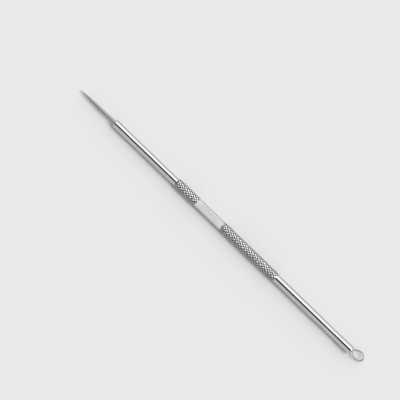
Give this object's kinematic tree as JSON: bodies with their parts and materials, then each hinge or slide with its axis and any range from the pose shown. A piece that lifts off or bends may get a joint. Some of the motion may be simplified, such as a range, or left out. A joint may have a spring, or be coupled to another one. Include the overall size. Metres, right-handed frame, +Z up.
{
  "type": "blackhead extractor",
  "caption": "Slim steel hand tool for skin care: a round knurled handle with a pressed-in lancet needle at one end and a small bent-wire extraction loop at the other.",
  "frame": {"origin": "under the middle of the tool's length, on the surface that it lies on; the handle's axis runs 1.8 mm above it", "axes": "+X along the handle from the needle towards the loop, +Z up out of the flat on the grip and square to the loop's plane"},
  "size_m": [0.14, 0.0042, 0.0036],
  "materials": {
    "handle_steel": "polished stainless steel, knurled grip, satin flat",
    "needle_steel": "ground and polished stainless steel",
    "wire_steel": "bright drawn stainless wire"
  },
  "bodies": {
    "root": {"handle": "handle_steel", "lancet_needle": "needle_steel", "extraction_loop": "wire_steel"}
  },
  "joints": []
}
